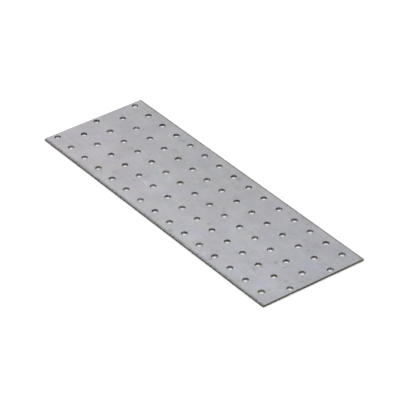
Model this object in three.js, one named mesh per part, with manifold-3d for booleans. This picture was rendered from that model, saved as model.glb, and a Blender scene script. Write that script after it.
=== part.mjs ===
// Perforated nail plate: a flat timber connector, blanked from galvanised steel strip.
//
// Millimetres, +Z up. +X runs along the strip that the plate was cropped from, and +Y across it.
// The origin is the middle of the underside, which is the face that lies on the timber.
// The plate is one piece of sheet, so the assembly holds a single mesh.

import * as THREE from 'three';
import { mergeVertices } from 'three/addons/utils/BufferGeometryUtils.js';
import Module from 'manifold-3d';

// The sheet
const LENGTH = 300;
const WIDTH = 100;
const THICKNESS = 2;

// The slit long edges: the knife draws the upper face down before the strip parts.
const EDGE_ROLL_WIDTH = 2;
const EDGE_ROLL_DEPTH = 0.3;

// The punched field: rows across the plate hold three holes and two holes in turn.
const HOLE_DIAMETER = 5;
const ROW_PITCH = 10;
const HOLE_SPACING = 40;
const HOLES_IN_ROW = [3, 2];

// How finely the round stretches are divided
const HOLE_SIDES = 24;
const EDGE_ROLL_STEPS = 4;

// The punch goes this far past both faces, so that it never ends on one.
const PUNCH_OVERRUN = 1;

const GALVANISED = { name: 'galvanised_steel', color: 0xb0b0b5, metalness: 0.85, roughness: 0.45 };

const wasm = await Module();
wasm.setup();

// A closed geometry becomes a solid once only its positions are left and shared corners are merged.
function solidFrom(geometry) {
  geometry.deleteAttribute('normal');
  geometry.deleteAttribute('uv');
  const merged = mergeVertices(geometry);
  const vertProperties = new Float32Array(merged.attributes.position.array);
  const triVerts = new Uint32Array(merged.index.array);
  return new wasm.Manifold(new wasm.Mesh({ numProp: 3, vertProperties, triVerts }));
}

function geometryFrom(solid) {
  const { vertProperties, triVerts } = solid.getMesh();
  const geometry = new THREE.BufferGeometry();
  geometry.setAttribute('position', new THREE.BufferAttribute(vertProperties, 3));
  geometry.setIndex(new THREE.BufferAttribute(triVerts, 1));
  return geometry;
}

// The strip's section across its width, with both upper corners rolled over.
function stripSection() {
  const side = WIDTH / 2;
  const flatSide = side - EDGE_ROLL_WIDTH;
  const sideTop = THICKNESS - EDGE_ROLL_DEPTH;
  const section = new THREE.Shape();
  section.moveTo(-side, 0);
  section.lineTo(side, 0);
  section.lineTo(side, sideTop);
  section.quadraticCurveTo(side, THICKNESS, flatSide, THICKNESS);
  section.lineTo(-flatSide, THICKNESS);
  section.quadraticCurveTo(-side, THICKNESS, -side, sideTop);
  section.closePath();
  return section;
}

// A length of strip, lying along X with its underside on the ground.
function stripBlank() {
  const options = { depth: LENGTH, bevelEnabled: false, curveSegments: EDGE_ROLL_STEPS };
  const blank = new THREE.ExtrudeGeometry(stripSection(), options);
  const across = new THREE.Vector3(0, 1, 0);
  const up = new THREE.Vector3(0, 0, 1);
  const along = new THREE.Vector3(1, 0, 0);
  blank.applyMatrix4(new THREE.Matrix4().makeBasis(across, up, along));
  blank.translate(-LENGTH / 2, 0, 0);
  return blank;
}

// Rows start half a pitch in from each end, and each row is centred on the plate's centre line.
function holeCentres() {
  const centres = [];
  const rows = Math.round(LENGTH / ROW_PITCH);
  for (let row = 0; row < rows; row += 1) {
    const x = (row + 0.5) * ROW_PITCH - LENGTH / 2;
    const count = HOLES_IN_ROW[row % HOLES_IN_ROW.length];
    for (let hole = 0; hole < count; hole += 1) {
      const y = (hole - (count - 1) / 2) * HOLE_SPACING;
      centres.push([x, y]);
    }
  }
  return centres;
}

function punchAt([x, y]) {
  const radius = HOLE_DIAMETER / 2;
  const stroke = THICKNESS + 2 * PUNCH_OVERRUN;
  const punch = new THREE.CylinderGeometry(radius, radius, stroke, HOLE_SIDES);
  punch.rotateX(Math.PI / 2);
  punch.translate(x, y, THICKNESS / 2);
  return punch;
}

function nailPlate() {
  let plate = solidFrom(stripBlank());
  for (const centre of holeCentres()) {
    plate = plate.subtract(solidFrom(punchAt(centre)));
  }
  const material = new THREE.MeshStandardMaterial({ ...GALVANISED, flatShading: true });
  const mesh = new THREE.Mesh(geometryFrom(plate), material);
  mesh.name = 'nail_plate';
  return mesh;
}

const group = new THREE.Group();
group.add(nailPlate());

export default group;
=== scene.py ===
# %% [markdown]
# # A perforated nail plate
#
# A nail plate is a flat strip of galvanised sheet steel with a field of nail holes. It is laid
# over a joint between two timbers and nailed down. This lesson makes one the way a press shop
# does: the sheet is punched, slit to width and cropped to length, and each of these cuts leaves
# its own small marks on the metal.
#
# The imported model comes first. It fixes where the plate lies and how big it is: the length,
# width and thickness below are read from it, and the other sizes are given here.

# %% The imported model
import math

import bmesh
import bpy
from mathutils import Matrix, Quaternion, Vector


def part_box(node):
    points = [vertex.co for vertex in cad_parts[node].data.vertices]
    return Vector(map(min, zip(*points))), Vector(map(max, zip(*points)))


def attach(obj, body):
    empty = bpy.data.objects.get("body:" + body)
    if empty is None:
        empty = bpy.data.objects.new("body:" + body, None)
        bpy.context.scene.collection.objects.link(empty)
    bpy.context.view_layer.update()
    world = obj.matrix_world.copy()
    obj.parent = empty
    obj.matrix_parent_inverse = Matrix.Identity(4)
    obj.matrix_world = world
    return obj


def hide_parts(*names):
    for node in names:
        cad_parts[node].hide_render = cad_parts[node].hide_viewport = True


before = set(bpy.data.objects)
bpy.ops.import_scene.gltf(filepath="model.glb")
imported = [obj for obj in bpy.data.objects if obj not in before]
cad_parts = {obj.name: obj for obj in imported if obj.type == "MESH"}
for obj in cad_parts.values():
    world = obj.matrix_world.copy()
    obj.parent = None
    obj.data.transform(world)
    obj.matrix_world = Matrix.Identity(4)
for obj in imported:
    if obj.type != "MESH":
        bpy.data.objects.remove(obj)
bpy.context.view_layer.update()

MM = 0.001
low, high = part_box("nail_plate")
LENGTH, WIDTH, THICKNESS = ((high[axis] - low[axis]) / MM for axis in range(3))
print(f"sheet: {LENGTH:.1f} x {WIDTH:.1f} x {THICKNESS:.1f} mm")

# %% [markdown]
# ## Helpers for working by hand
#
# Operators act on whatever is selected, as the keys and menus do. So each step here starts by
# selecting nothing, then picks the points or edges it wants by where they are. Picking by
# place reads better than picking by number, and it still works when the mesh changes.
#
# The plate is modelled in millimetres, because its finest marks are hundredths of one, and it
# is scaled to metres at the end.

# %% Selecting by place
SAME_PLACE = 1e-3


def start_afresh():
    """Leaves edit mode and selects nothing."""
    if bpy.context.object and bpy.context.object.mode != "OBJECT":
        bpy.ops.object.mode_set(mode="OBJECT")
    bpy.ops.object.select_all(action="DESELECT")


def choose(*things):
    """Selects these objects only, and makes the first one active."""
    start_afresh()
    for thing in things:
        thing.select_set(True)
    bpy.context.view_layer.objects.active = things[0]


def edit(thing):
    """Selects one object and opens it in edit mode."""
    choose(thing)
    bpy.ops.object.mode_set(mode="EDIT")


def pick_open_edges(thing, test):
    """In edit mode, selects and counts the open edges whose two ends pass the test."""
    bpy.ops.mesh.select_mode(type="EDGE")
    bpy.ops.mesh.select_all(action="DESELECT")
    mesh = bmesh.from_edit_mesh(thing.data)
    picked = 0
    for edge in mesh.edges:
        is_open = edge.is_boundary or edge.is_wire
        if is_open and all(test(vertex.co) for vertex in edge.verts):
            edge.select_set(True)
            picked += 1
    mesh.select_flush_mode()
    bmesh.update_edit_mesh(thing.data)
    return picked


def near(value, target):
    return abs(value - target) < SAME_PLACE


# %% [markdown]
# ## The section of a punched hole
#
# A punch first bends the sheet down at the rim, which leaves a smooth roll. It then cuts a
# straight smooth land, and when the metal has no more stretch the rest tears away, a little
# wider than the punch, with a thin burr at the underside. Cutting a cylinder out of a slab
# would give none of that, so the wall is drawn as a section instead: a list of radius and
# height, which is extruded ring by ring. TEAR_WIDTHS says how much wider than the punch the
# torn part is at each height.

# %% Sizes of the punched field
HOLE_RADIUS = 2.5
ROW_PITCH = 10
HOLE_LINES = 5
LINE_PITCH = WIDTH / HOLE_LINES
HOLE_SIDES = 48

RIM_ROLL_WIDTH = 0.36
RIM_ROLL_DEPTH = 0.17
RIM_ROLL_STEPS = 4
TEAR_TOP = 1.15
TEAR_WIDTHS = {TEAR_TOP - 0.1: 0.02, 0.6: 0.04, 0.14: 0.05}
RIM_MARGIN = 0.2
BURR = 0.03
BURR_INNER = 0.06
BURR_OUTER = 0.2


def rolled_rim():
    """Radius and height down the rolled rim, which is a quarter of an ellipse."""
    points = []
    for step in range(RIM_ROLL_STEPS + 1):
        turn = math.pi / 2 * step / RIM_ROLL_STEPS
        radius = HOLE_RADIUS + RIM_ROLL_WIDTH * (1 - math.sin(turn))
        height = THICKNESS - RIM_ROLL_DEPTH * (1 - math.cos(turn))
        points.append((radius, height))
    return points


flat_ring = (HOLE_RADIUS + RIM_ROLL_WIDTH + RIM_MARGIN, THICKNESS)
torn_wall = [(HOLE_RADIUS + width, height) for height, width in TEAR_WIDTHS.items()]
burr_lip = [(HOLE_RADIUS + BURR_INNER, 0.0), (HOLE_RADIUS + BURR_OUTER, BURR)]
hole_section = [flat_ring, *rolled_rim(), (HOLE_RADIUS, TEAR_TOP), *torn_wall, *burr_lip]
print(f"hole section: {len(hole_section)} rings, the first {flat_ring[0]:.2f} mm in radius")

# %% [markdown]
# ## One hole and one blank
#
# The field is a chequerboard: each row across the plate is made of cells, and cells with a
# hole take turns with plain ones. So only two cells have to be modelled, and copies of them
# fill the whole sheet with nothing left over.
#
# A cell is twice as long across the plate as along it, so it gets twice as many steps that
# way. Its border then has as many points as the ring of the hole, and bridging the two gives
# one clean face for each point, with no triangles.

# %% A cell's flat grid
SHORT_STEPS = HOLE_SIDES // 6
LONG_STEPS = HOLE_SIDES // 3
print(f"cell border: {2 * (SHORT_STEPS + LONG_STEPS)} edges, for a ring of {HOLE_SIDES}")


def flat_cell(height, border_only):
    """A cell of the sheet's upper or lower face, or just the edges round it."""
    start_afresh()
    bpy.ops.mesh.primitive_grid_add(
        x_subdivisions=SHORT_STEPS, y_subdivisions=LONG_STEPS, size=1, location=(0, 0, height)
    )
    cell = bpy.context.object
    cell.scale = (ROW_PITCH, LINE_PITCH, 1)
    bpy.ops.object.transform_apply(location=True, rotation=True, scale=True)
    if border_only:
        bpy.ops.object.mode_set(mode="EDIT")
        bpy.ops.mesh.select_all(action="SELECT")
        bpy.ops.mesh.region_to_loop()
        bpy.ops.mesh.select_mode(type="VERT")
        bpy.ops.mesh.select_all(action="INVERT")
        bpy.ops.mesh.delete(type="VERT")
        bpy.ops.object.mode_set(mode="OBJECT")
    return cell


def blank_cell():
    """A plain cell: its upper and lower faces, with nothing between them."""
    upper = flat_cell(THICKNESS, border_only=False)
    lower = flat_cell(BURR, border_only=False)
    choose(upper, lower)
    bpy.ops.object.join()
    return bpy.context.object


# %% A cell with a hole
def hole_wall():
    """The rim, wall and burr of one hole, extruded ring by ring from the top."""
    radius, height = hole_section[0]
    start_afresh()
    bpy.ops.mesh.primitive_circle_add(
        vertices=HOLE_SIDES, radius=radius, fill_type="NOTHING", location=(0, 0, height)
    )
    bpy.ops.object.transform_apply(location=True, rotation=True, scale=True)
    wall = bpy.context.object
    edit(wall)
    bpy.ops.mesh.select_mode(type="EDGE")
    bpy.ops.mesh.select_all(action="SELECT")
    for next_radius, next_height in hole_section[1:]:
        drop = (0, 0, next_height - height)
        bpy.ops.mesh.extrude_region_move(TRANSFORM_OT_translate={"value": drop})
        grow = next_radius / radius
        bpy.ops.transform.resize(value=(grow, grow, 1), center_override=(0, 0, next_height))
        radius, height = next_radius, next_height
    bpy.ops.object.mode_set(mode="OBJECT")
    return wall


def hole_cell():
    """A cell whose upper and lower faces are joined by the wall of a hole."""
    wall = hole_wall()
    choose(wall, flat_cell(THICKNESS, border_only=True), flat_cell(BURR, border_only=True))
    bpy.ops.object.join()
    cell = bpy.context.object
    edit(cell)
    for height in (THICKNESS, BURR):
        found = pick_open_edges(cell, lambda place: near(place.z, height))
        assert found == 2 * HOLE_SIDES, f"{found} edges to bridge at {height}"
        bpy.ops.mesh.bridge_edge_loops(number_cuts=1, interpolation="LINEAR")
    bpy.ops.object.mode_set(mode="OBJECT")
    return cell


# %% [markdown]
# ## From two cells to a sheet
#
# A hole cell and a blank cell side by side make a tile. An array repeats the tile along the
# plate, which gives one line of holes. The next line is the same one turned half round, since
# that swaps which cell comes first, so five lines placed side by side make the staggered field.
# An array is used along the line and plain copies across it, because the lines aren't alike.

# %% One line of holes
def line_of_holes():
    """Cells all along the plate, with a hole in every other one."""
    tile_length = 2 * ROW_PITCH
    tiles = round(LENGTH / tile_length)
    hole, blank = hole_cell(), blank_cell()
    choose(blank)
    bpy.ops.transform.translate(value=(ROW_PITCH, 0, 0))
    choose(hole, blank)
    bpy.ops.object.transform_apply(location=True, rotation=True, scale=True)
    bpy.ops.object.join()
    line = bpy.context.object
    bpy.ops.transform.translate(value=((ROW_PITCH - LENGTH) / 2, 0, 0))
    bpy.ops.object.transform_apply(location=True, rotation=True, scale=True)
    bpy.ops.object.modifier_add(type="ARRAY")
    array = line.modifiers[-1]
    array.count = tiles
    array.use_relative_offset = False
    array.use_constant_offset = True
    array.constant_offset_displace = (tile_length, 0, 0)
    bpy.ops.object.modifier_apply(modifier=array.name)
    return line


# %% Five lines joined
MERGE = 0.005


def merge_doubles():
    """In edit mode, merges points that lie on top of each other."""
    bpy.ops.mesh.select_all(action="SELECT")
    bpy.ops.mesh.remove_doubles(threshold=MERGE)


def punched_sheet():
    """The lines side by side, every other one turned half round, as one open sheet."""
    first = line_of_holes()
    lines = [first]
    for index in range(1, HOLE_LINES):
        choose(first)
        bpy.ops.object.duplicate(linked=False)
        lines.append(bpy.context.object)
        if index % 2:
            bpy.ops.transform.rotate(value=math.pi, orient_axis="Z", center_override=(0, 0, 0))
    for index, line in enumerate(lines):
        choose(line)
        across = (index - (HOLE_LINES - 1) / 2) * LINE_PITCH
        bpy.ops.transform.translate(value=(0, across, 0))
    choose(*lines)
    bpy.ops.object.transform_apply(location=True, rotation=True, scale=True)
    bpy.ops.object.join()
    sheet = bpy.context.object
    edit(sheet)
    merge_doubles()
    bpy.ops.object.mode_set(mode="OBJECT")
    return sheet


plate = punched_sheet()
print(f"punched sheet: {len(plate.data.polygons)} faces")

# %% [markdown]
# ## Slit edges and cropped ends
#
# The long edges were slit by rotary knives, which draw the upper face down over a wide, soft
# roll. The ends were cropped by a shear, which leaves a much smaller one. A Bevel modifier
# would round every edge alike, so the sheet is cut back to where each roll begins, and the cut
# edge is extruded outwards in short steps along the roll.

# %% Sizes of the cut edges
SLIT_ROLL_WIDTH = 2.0
SLIT_ROLL_DEPTH = 0.3
SLIT_ROLL_STEPS = 6
CROP_ROLL_WIDTH = 0.5
CROP_ROLL_DEPTH = 0.1
CROP_ROLL_STEPS = 3
LOWER_SETBACK = 0.43


def roll_steps(width, depth, steps):
    """How far out and how far down each step of a roll has gone: flat first, then steep."""
    for step in range(1, steps + 1):
        along = step / steps
        yield width * along * (2 - along), depth * along**2


# %% Growing a rolled border
MIDDLE = THICKNESS / 2
ON_THE_CUT = 1e-4


def grow_border(sheet, axis, roll_width, roll_depth, steps):
    """Cuts the sheet back at both ends of an axis, then extrudes its roll outwards.

    The lower face stops short of the outline, at the foot of the burr.
    """
    half = (LENGTH, WIDTH)[axis] / 2
    begin = half - roll_width
    for side in (-1, 1):
        bpy.ops.mesh.select_all(action="SELECT")
        normal = [0, 0, 0]
        normal[axis] = side
        point = [0, 0, 0]
        point[axis] = side * begin
        bpy.ops.mesh.bisect(plane_co=point, plane_no=normal, clear_outer=True, threshold=ON_THE_CUT)

    def extrude_roll(width, depth):
        reach, fallen = begin, 0
        for out, down in roll_steps(width, depth, steps):
            scale = [1, 1, 1]
            scale[axis] = (begin + out) / reach
            bpy.ops.mesh.extrude_region_move()
            bpy.ops.transform.resize(value=scale, center_override=(0, 0, 0))
            bpy.ops.transform.translate(value=(0, 0, fallen - down))
            reach, fallen = begin + out, down

    def border(place):
        return near(abs(place[axis]), begin)

    upper = pick_open_edges(sheet, lambda place: border(place) and place.z > MIDDLE)
    extrude_roll(roll_width, roll_depth)
    lower = pick_open_edges(sheet, lambda place: border(place) and place.z < MIDDLE)
    extrude_roll(roll_width - LOWER_SETBACK, 0)
    assert upper == lower, "the upper and lower faces have to end in the same points"
    return upper


# %% Rolling the edges
edit(plate)
slit_edges = grow_border(plate, 1, SLIT_ROLL_WIDTH, SLIT_ROLL_DEPTH, SLIT_ROLL_STEPS)
crop_edges = grow_border(plate, 0, CROP_ROLL_WIDTH, CROP_ROLL_DEPTH, CROP_ROLL_STEPS)
print(f"rolled {slit_edges} edges along the sides and {crop_edges} across the ends")

# %% [markdown]
# ## The sheared face round the plate
#
# Below the roll, the edge of the sheet looks like the wall of a hole: a straight land, a torn
# band that leans in, and a burr. The open edge at the top is extruded down ring by ring, and
# the last ring is bridged to the underside, which closes the solid. Scaling a ring's height
# to nothing about a given level lays the whole ring on that level.

# %% Closing the plate
EDGE_RINGS = [(0, TEAR_TOP), (0.05, TEAR_TOP - 0.1), (0.14, 0.6), (0.22, 0.14), (0.26, 0.0)]


def close_edge(sheet):
    """Walls the sheet in below the roll. Each ring has its distance in from the outline."""
    pick_open_edges(sheet, lambda place: place.z > MIDDLE)
    inset = 0
    for next_inset, level in EDGE_RINGS:
        bpy.ops.mesh.extrude_region_move()
        shrink = [(size / 2 - next_inset) / (size / 2 - inset) for size in (LENGTH, WIDTH)]
        bpy.ops.transform.resize(value=(*shrink, 0), center_override=(0, 0, level))
        inset = next_inset
    pick_open_edges(sheet, lambda place: place.z < MIDDLE)
    bpy.ops.mesh.bridge_edge_loops()


close_edge(plate)
merge_doubles()
bpy.ops.mesh.normals_make_consistent(inside=False)
bpy.ops.mesh.select_all(action="DESELECT")
bpy.ops.mesh.select_mode(type="VERT")
bpy.ops.mesh.select_non_manifold()
bpy.ops.object.mode_set(mode="OBJECT")
open_points = sum(vertex.select for vertex in plate.data.vertices)
print(f"closed plate: {len(plate.data.polygons)} faces, {open_points} points on open edges")

# %% [markdown]
# ## Torn metal and shading
#
# Torn steel is uneven. Moving the torn rings' points a few hundredths of a millimetre at
# random breaks up their reflection, and it is done to all the holes at once so that no two are
# alike. The random number seed is fixed, so the plate comes out the same each time.
#
# The faces are then shaded smooth, except across sharp corners, and the model is scaled from
# millimetres to metres.

# %% Roughening the torn band
TEAR_SEED = 7
TEAR_ROUGHNESS = 0.035
TORN_FROM, TORN_TO = 2 * BURR, TEAR_TOP - 0.05


def roughen_tears(sheet):
    """Moves the points of the torn band a little at random, and counts them."""
    edit(sheet)
    bpy.ops.mesh.select_mode(type="VERT")
    bpy.ops.mesh.select_all(action="DESELECT")
    mesh = bmesh.from_edit_mesh(sheet.data)
    torn = [vertex for vertex in mesh.verts if TORN_FROM < vertex.co.z < TORN_TO]
    for vertex in torn:
        vertex.select_set(True)
    mesh.select_flush_mode()
    bmesh.update_edit_mesh(sheet.data)
    bpy.ops.transform.vertex_random(offset=TEAR_ROUGHNESS, uniform=1, seed=TEAR_SEED)
    bpy.ops.object.mode_set(mode="OBJECT")
    return len(torn)


print(f"roughened {roughen_tears(plate)} points of torn metal")

# %% Shading and scale
SHARP_CORNER = math.radians(32)
choose(plate)
plate.name = plate.data.name = "punched_nail_plate"
plate.scale = (MM, MM, MM)
bpy.ops.object.transform_apply(location=True, rotation=True, scale=True)
bpy.ops.object.shade_smooth_by_angle(angle=SHARP_CORNER)
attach(plate, "root")
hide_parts("nail_plate")
print(f"{plate.name}: {len(plate.data.vertices)} points, now in metres")

# %% [markdown]
# ## Shader arithmetic
#
# A finish is a sum of small effects, and in the node editor each plus and times is a box with
# wires. Written as arithmetic the same thing fits on a line, so this class wraps a node's
# output and turns the language's operators into Math nodes. A number may stand on either side
# of an operator, as in 1 - mask. Every other kind of node is added by its one method, `node`.

# %% The Wire class
class Wire:
    """One output of a shader node. Arithmetic on it adds Math nodes to its tree."""

    def __init__(self, tree, socket=None):
        self.tree = tree
        self.socket = socket

    def node(self, kind, inputs=None, output=0, **settings):
        """Adds a node of this kind, with its settings and inputs, and returns one output."""
        made = self.tree.nodes.new("ShaderNode" + kind)
        for name, setting in settings.items():
            setattr(made, name, setting)
        for name, value in (inputs or {}).items():
            if isinstance(value, Wire):
                self.tree.links.new(value.socket, made.inputs[name])
            else:
                made.inputs[name].default_value = value
        return Wire(self.tree, made.outputs[output])

    def math(self, operation, *others):
        """A Math node whose first input is this wire."""
        return self.node("Math", dict(enumerate((self, *others))), operation=operation)

    def __add__(self, other):
        return self.math("ADD", other)

    def __sub__(self, other):
        return self.math("SUBTRACT", other)

    def __rsub__(self, other):
        return self.math("MULTIPLY_ADD", -1, other)

    def __mul__(self, other):
        return self.math("MULTIPLY", other)

    def __truediv__(self, other):
        return self.math("DIVIDE", other)

    def __rtruediv__(self, other):
        return self.node("Math", {0: other, 1: self}, operation="DIVIDE")

    __radd__ = __add__
    __rmul__ = __mul__


# %% Patterns in millimetres
def new_material(name):
    """A material with a Principled shader, and a Wire to build its pattern from."""
    material = bpy.data.materials.new(name)
    material.use_nodes = True
    tree = material.node_tree
    return material, Wire(tree), tree.nodes["Principled BSDF"]


def feed(surface, socket, wire):
    """Joins a wire to one of the shader's sockets."""
    wire.tree.links.new(wire.socket, surface.inputs[socket])


def place_in_mm(start):
    """Where a point of the plate is, in millimetres from the middle of its underside."""
    metres = start.node("TexCoord", output="Object")
    return metres.node("VectorMath", {0: metres, "Scale": 1 / MM}, operation="SCALE")


def axis_of(place, axis):
    return place.node("SeparateXYZ", {0: place}, output=axis)


def ease(value, start, end):
    """0 before start, 1 after end, and smooth in between. It falls if end is less than start."""
    inputs = {"Value": value, "From Min": start, "From Max": end}
    return value.node("MapRange", inputs, interpolation_type="SMOOTHSTEP")


def cloud(place, size, shift, detail=2.0, grain=0.5, stretch=(1, 1, 1), turn=0.0):
    """Soft noise round 0.5 with features of about this size. Each shift gives another cloud."""
    scale = [size * factor for factor in stretch]
    layout = {"Location": (shift, 2 * shift, 0), "Rotation": (0, 0, turn), "Scale": scale}
    mapped = place.node("Mapping", {"Vector": place, **layout}, vector_type="TEXTURE")
    inputs = {"Vector": mapped, "Detail": detail, "Roughness": grain, "Scale": 1.0}
    return mapped.node("TexNoise", inputs)


# %% Covering, tinting and relief
def blend(factor, first, second):
    """A colour between two colours: the first at 0 and the second at 1."""
    return factor.node("Mix", {0: factor, 6: first, 7: second}, output=2, data_type="RGBA")


def tint(strength, coat, colour):
    """Multiplies a colour by another, as far as the strength says."""
    inputs = {0: strength, 6: coat, 7: colour}
    return strength.node("Mix", inputs, output=2, data_type="RGBA", blend_type="MULTIPLY")


def relief(height, strength, depth):
    """A bumpy normal from a height pattern, where a height of 1 stands for this depth in mm."""
    return height.node("Bump", {"Height": height, "Strength": strength, "Distance": depth * MM})


# %% [markdown]
# ## Where the wear and painted shade are
#
# Stains, wear and painted shade sit at the holes and along the edges. The distance to the nearest
# hole is worked out from the pitch, so they stay on the holes whatever their number. The field
# is two plain grids of holes, one shifted by a pitch each way, and the nearer of the two
# answers counts.

# %% Distances to holes and edges
def hole_distance(place):
    """Millimetres from the nearest hole's centre."""
    x, y = axis_of(place, 0), axis_of(place, 1)
    first_x = (ROW_PITCH - LENGTH) / 2
    first_y = (LINE_PITCH - WIDTH) / 2
    period_x, period_y = 2 * ROW_PITCH, 2 * LINE_PITCH
    distances = []
    for shift in (0, 1):
        across = (x - (first_x + shift * ROW_PITCH)) / period_x + 0.5
        up = (y - (first_y + shift * LINE_PITCH)) / period_y + 0.5
        dx = (across.math("FRACT") - 0.5) * period_x
        dy = (up.math("FRACT") - 0.5) * period_y
        distances.append((dx * dx + dy * dy).math("SQRT"))
    return distances[0].math("MINIMUM", distances[1])


def round_hole(from_centre, outer, inner):
    """0 to 1 as a point nears a hole, between these two distances from its wall."""
    return ease(from_centre, HOLE_RADIUS + outer, HOLE_RADIUS + inner)


def inside(place, axis):
    """Millimetres in from the nearer of the plate's two edges along this axis."""
    return (LENGTH, WIDTH)[axis] / 2 - axis_of(place, axis).math("ABSOLUTE")


# %% [markdown]
# ## Zinc
# Strip steel is galvanised by pulling it through molten zinc. The coat freezes into flat
# crystals, which skin rolling then presses to a faint cloudy pattern, and it goes dull and
# slightly blue. Stacking and handling add rubs and specks. Where the coat is broken it stains.
# The rolls round the holes and along the edges are painted darker, as shade.
# and it is dirtiest where it was cut.
#
# A picture of zinc could be wrapped over the plate, but it would blur close up and wouldn't
# follow the holes. So the finish is worked out from noise and distances, in the order that the
# metal went through. Tints multiply one base grey, first slowly over the whole plate and then
# in smaller and smaller patches, so that the same grey shows through them all. The first tint
# is painted light, which makes the plate paler towards one long side. Stain and painted shade
# hide the zinc instead, so they are blended over it. The coat yellows a little at the edges.

# %% Colours of the zinc
ZINC = (0.306, 0.305, 0.321, 1)
STAIN = (0.21, 0.205, 0.085, 1)
# Painted shade: the dark colour laid on the rolls round the holes and along the edges.
PAINTED_SHADE = (0.062, 0.062, 0.067, 1)

# Painted light: the tint that makes the plate paler towards its -Y long side.
PAINTED_LIGHT_SIDE = (1.16, 1.16, 1.16, 1)
PALE = (1.35, 1.35, 1.36, 1)
DULL = (0.68, 0.68, 0.69, 1)
WARM = (1.028, 0.99, 1.005, 1)
COOL = (0.965, 0.973, 1.0, 1)
LILAC = (1.018, 0.975, 1.05, 1)
GREEN = (0.97, 1.022, 1.0, 1)
BLUE = (0.975, 0.993, 1.06, 1)
STRAW = (1.018, 1.01, 0.95, 1)


# %% Patches of tone
CRYSTAL_SIZE = 6.25


def zinc_tone(place):
    """How pale the coat is: above 0 where it is pale, and below 0 where it is dull."""
    clouds = cloud(place, 26, shift=31)
    mottle = cloud(place, 7, shift=77, detail=3.0, grain=0.6)
    smears = cloud(place, 3, shift=12, stretch=(6, 1, 1))
    flecks = cloud(place, 1.4, shift=211, grain=0.7)
    inputs = {"Vector": place, "Scale": 1 / CRYSTAL_SIZE}
    crystals = axis_of(place.node("TexVoronoi", inputs, output="Color"), 0)
    broad = (clouds - 0.5) * 0.45 + (mottle - 0.5) * 0.2
    return broad + (smears - 0.5) * 0.2 + (flecks - 0.5) * 0.24 + (crystals - 0.5) * 0.05


# %% Slow drift and tints
def zinc_colour(place, tone):
    """The clean coat: a grey painted lighter towards one long side, with drifts and faint patches
    of other hues.
    """
    along, across = axis_of(place, 0) / LENGTH, axis_of(place, 1) / WIDTH
    # Painted light: the coat is paler towards the -Y long side, as if lit more there.
    coat = tint(ease(across, 0.6, -0.6), ZINC, PAINTED_LIGHT_SIDE)
    coat = tint(ease(along + across * 0.4, -0.1, -0.6), coat, WARM)
    coat = tint(ease(along, 0, 0.5), coat, COOL)
    rosy = cloud(place, 20, shift=53, detail=3.0)
    bluish = cloud(place, 16, shift=171, detail=3.0)
    for hue, more, less in ((rosy, LILAC, GREEN), (bluish, BLUE, STRAW)):
        coat = tint(ease(hue, 0.5, 0.8), coat, more)
        coat = tint(ease(hue, 0.5, 0.2), coat, less)
    coat = tint(ease(tone, 0.05, -0.5), coat, DULL)
    return tint(ease(tone, -0.05, 0.5), coat, PALE)


# %% Rubs and specks
RUBBED_ALONG = math.radians(35)
RUBBED_ACROSS = math.radians(-60)


def rubs(place, turn, shift):
    """Short dull rubs that run one way, in loose groups."""
    strokes = cloud(place, 1.6, shift=shift, stretch=(4, 1, 1), turn=turn)
    groups = cloud(place, 20, shift=2 * shift, detail=1.0)
    return ease(strokes, 0.56, 0.75) * ease(groups, 0.5, 0.65)


def specks(place, size, shift, near_hole):
    """Small spots, in loose groups and near the holes."""
    spots = ease(cloud(place, size, shift=shift, grain=0.6), 0.59, 0.69)
    groups = ease(cloud(place, 15, shift=2 * shift, detail=1.0), 0.52, 0.66)
    return spots * groups.math("MAXIMUM", near_hole)


# %% Stain and painted shade
def stain_and_shade(coat, place, from_centre):
    """Stains the coat round the holes, yellows its edges, and paints shade on its rolled rims and
    edges.
    """
    leaky = ease(cloud(place, 26, shift=90, detail=1.0), 0.54, 0.64)
    coat = blend(round_hole(from_centre, 1.8, 0.2) * leaky * 0.5, coat, STAIN)
    # Painted shade: a dark ring on each hole's rolled rim, stronger or weaker at random.
    rim_shade = 0.55 + cloud(place, 9, shift=27) * 0.5
    coat = blend(round_hole(from_centre, 0.52, 0.2) * rim_shade, coat, PAINTED_SHADE)

    inside_end, inside_edge = inside(place, 0), inside(place, 1)
    yellowed = (ease(inside_edge, 7.0, 1.0) * 0.6).math("MAXIMUM", ease(inside_end, 3.0, 0.5))
    coat = tint(yellowed, coat, STRAW)
    # Painted shade: a patchy dark band on the slit rolls and a dark strip on the crop rolls.
    shade_patches = cloud(place, 2.0, shift=8, detail=3.0, grain=0.7)
    slit_edge = ease(inside_edge, SLIT_ROLL_WIDTH + 0.7, 0.0)
    coat = blend(slit_edge * (shade_patches * 2.6 - 0.66), coat, PAINTED_SHADE)
    cropped_end = ease(inside_end, CROP_ROLL_WIDTH + 0.2, 0.0)
    return blend(cropped_end * 0.6, coat, PAINTED_SHADE)


# %% The zinc finish
def zinc_finish():
    """The galvanised coat with its wear."""
    material, start, surface = new_material("galvanised_zinc")
    place = place_in_mm(start)
    tone = zinc_tone(place)
    coat = zinc_colour(place, tone)

    rubbed = rubs(place, RUBBED_ALONG, 17).math("MAXIMUM", rubs(place, RUBBED_ACROSS, 43))
    coat = tint(rubbed * 0.4, coat, DULL)
    from_centre = hole_distance(place)
    near_hole = round_hole(from_centre, 3.0, 1.2)
    coat = tint(specks(place, 3.2, 140, near_hole) * 0.55, coat, PALE)
    coat = tint(specks(place, 6.5, 190, near_hole * 0.3) * 0.75, coat, DULL)

    feed(surface, "Base Color", stain_and_shade(coat, place, from_centre))
    feed(surface, "Roughness", 0.5 - tone * 0.25 + rubbed * 0.1)
    grain = cloud(place, 0.8, shift=0, detail=3.0, grain=0.6)
    feed(surface, "Normal", relief(grain * 0.3 + tone - rubbed * 0.5, strength=0.12, depth=0.02))
    surface.inputs["Metallic"].default_value = 0.85
    return material


zinc = zinc_finish()
print(f"{zinc.name}: {len(zinc.node_tree.nodes)} nodes")
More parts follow.
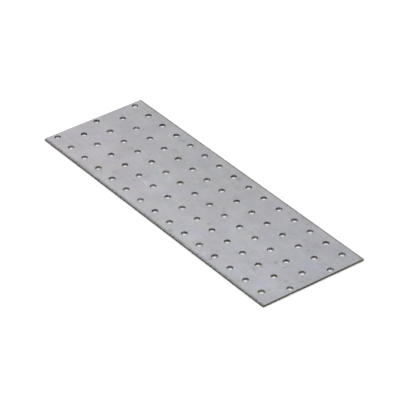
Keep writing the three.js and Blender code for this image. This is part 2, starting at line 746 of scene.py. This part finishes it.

# %% [markdown]
# ## Cut steel
#
# The sheet was galvanised before it was cut, so the sheared faces are bare steel: dark and
# smooth on the land, paler and matt where the metal tore. The land is darker still, as painted
# shade under the rim. The punch also drags metal down the wall, which leaves bright upright
# streaks. The outer cut faces are painted darker, as shade, except low down on the ends, where
# they are left paler. Rust is commonest at the ends.
#
# Each band could be a finish of its own, but then the line between them would follow the
# faces. The height on the edge says where the metal tore, and noise makes that line ragged,
# so one finish serves the holes and the outer edges.

# %% Colours of the cut steel
# The land's colour: dark bare steel, with painted shade under the rim in it.
LAND_AND_SHADE = (0.04, 0.04, 0.044, 1)
TORN = (0.295, 0.295, 0.315, 1)
BRIGHT = (0.33, 0.33, 0.352, 1)
# Random grime on the cut faces, and the painted shade on the outer cut faces.
GRIME_AND_SHADE = (0.032, 0.032, 0.031, 1)
RUST = (0.103, 0.097, 0.05, 1)


# %% The cut finish
def cut_finish():
    """Bare sheared steel: land and tear, streaks, grime, painted shade and rust."""
    material, start, surface = new_material("sheared_steel")
    place = place_in_mm(start)
    height = axis_of(place, 2)
    ragged_line = TEAR_TOP + (cloud(place, 1.2, shift=5) - 0.5) * 0.8
    land = ease(height - ragged_line, -0.08, 0.08)
    # Painted shade: the land under the rim is far darker than the torn band below it.
    shade = blend(land, TORN, LAND_AND_SHADE)
    shade = blend(ease(cloud(place, 11, shift=21), 0.4, 0.65) * 0.75, shade, GRIME_AND_SHADE)
    streaks = ease(cloud(place, 1.3, shift=33, stretch=(1, 1, 4)), 0.5, 0.62)
    shade = blend(streaks * 0.8, shade, BRIGHT)

    at_end = ease(inside(place, 0), 1.0, 0.6)
    # Painted shade on the outer cut faces, with less of it low down on the ends.
    outer_edge = ease(hole_distance(place), HOLE_RADIUS + 0.6, HOLE_RADIUS + 1.0)
    paler_low_on_ends = at_end * ease(height, 1.1, 0.5) * 0.65
    shade = blend(outer_edge * (0.9 - paler_low_on_ends), shade, GRIME_AND_SHADE)
    rusty = ease(cloud(place, 14, shift=64) + at_end * 0.09, 0.57, 0.67)
    shade = blend(rusty * 0.75, shade, RUST)

    feed(surface, "Base Color", shade)
    feed(surface, "Roughness", 0.75 - land * 0.3)
    scores = cloud(place, 0.25, shift=0, stretch=(1, 1, 6))
    feed(surface, "Normal", relief(scores, strength=0.4, depth=0.03))
    surface.inputs["Metallic"].default_value = 0.6
    surface.inputs["Specular IOR Level"].default_value = 0.2
    return material


cut_steel = cut_finish()
print(f"{cut_steel.name}: {len(cut_steel.node_tree.nodes)} nodes")

# %% Giving the faces their finish
STEEP = 0.5


def paint(sheet, coat, bare):
    """Gives the whole sheet its coat, and then its steep faces the bare steel."""
    sheet.data.materials.clear()
    sheet.data.materials.append(coat)
    sheet.data.materials.append(bare)
    edit(sheet)
    bpy.ops.mesh.select_mode(type="FACE")
    bpy.ops.mesh.select_all(action="DESELECT")
    mesh = bmesh.from_edit_mesh(sheet.data)
    cut = [face for face in mesh.faces if abs(face.normal.z) < STEEP]
    for face in cut:
        face.select_set(True)
    bmesh.update_edit_mesh(sheet.data)
    sheet.active_material_index = 1
    bpy.ops.object.material_slot_assign()
    bpy.ops.object.mode_set(mode="OBJECT")
    return len(cut)


print(f"bare steel on {paint(plate, zinc, cut_steel)} faces")

# %% [markdown]
# ## Floor, light and camera
#
# The plate lies on a pale floor under plain studio light. The world is an even white that
# fills in from all sides, and it is what the zinc mirrors. An area lamp could stand for the
# softbox overhead, but it would light the near end of the plate more than the far one. A wide,
# weak sun lights both alike. It leans a little towards one end, which shapes the rolled edges,
# and it falls through the holes on to the floor. The camera is far away with a long lens, as
# for a catalogue, so the plate's long edges stay almost parallel.

# %% The floor
FLOOR_SIZE = 60
FLOOR_GREY = 0.87
start_afresh()
bpy.ops.mesh.primitive_plane_add(size=FLOOR_SIZE, location=(0, 0, 0))
floor = bpy.context.object
floor.name = "studio_floor"
floor_paint, _, floor_surface = new_material("pale_floor")
floor_surface.inputs["Base Color"].default_value = (FLOOR_GREY, FLOOR_GREY, FLOOR_GREY, 1)
floor_surface.inputs["Roughness"].default_value = 0.9
floor_surface.inputs["Specular IOR Level"].default_value = 0.2
floor.data.materials.append(floor_paint)
print(f"floor: {FLOOR_SIZE} m square")

# %% The lights
WORLD_STRENGTH = 1.3
world = bpy.data.worlds.new("studio")
bpy.context.scene.world = world
world.use_nodes = True
world.node_tree.nodes["Background"].inputs["Color"].default_value = (1, 1, 1, 1)
world.node_tree.nodes["Background"].inputs["Strength"].default_value = WORLD_STRENGTH

KEY_FROM = Vector((-0.4, -0.1, 1.0))
KEY_ENERGY = 0.35
KEY_WIDTH = math.radians(40)
bpy.ops.object.light_add(type="SUN", location=KEY_FROM)
key = bpy.context.object
key.name = "key_softbox"
key.rotation_mode = "QUATERNION"
key.rotation_quaternion = KEY_FROM.to_track_quat("Z", "Y")
key.data.energy = KEY_ENERGY
key.data.angle = KEY_WIDTH
lean = math.degrees(KEY_FROM.angle(Vector((0, 0, 1))))
print(f"sun: {lean:.0f} degrees off upright, {math.degrees(KEY_WIDTH):.0f} degrees wide")

# %% The camera
AIM = Vector((11.53, -2.93, 1.97)) * MM
DISTANCE = 2.0515
AZIMUTH, ELEVATION, ROLL = (math.radians(degrees) for degrees in (53.94, 34.27, -1.23))
LENS_MM = 223.85
back = Vector((
    math.sin(AZIMUTH) * math.cos(ELEVATION),
    -math.cos(AZIMUTH) * math.cos(ELEVATION),
    math.sin(ELEVATION),
))
start_afresh()
bpy.ops.object.camera_add(location=AIM + back * DISTANCE)
camera = bpy.context.object
camera.rotation_mode = "QUATERNION"
camera.rotation_quaternion = (-back).to_track_quat("-Z", "Y") @ Quaternion((0, 0, 1), ROLL)
camera.data.lens = LENS_MM
camera.data.sensor_width = 36
bpy.context.scene.camera = camera
bpy.context.scene.view_settings.view_transform = "Standard"
print(f"camera: {DISTANCE} m away with a {LENS_MM} mm lens")
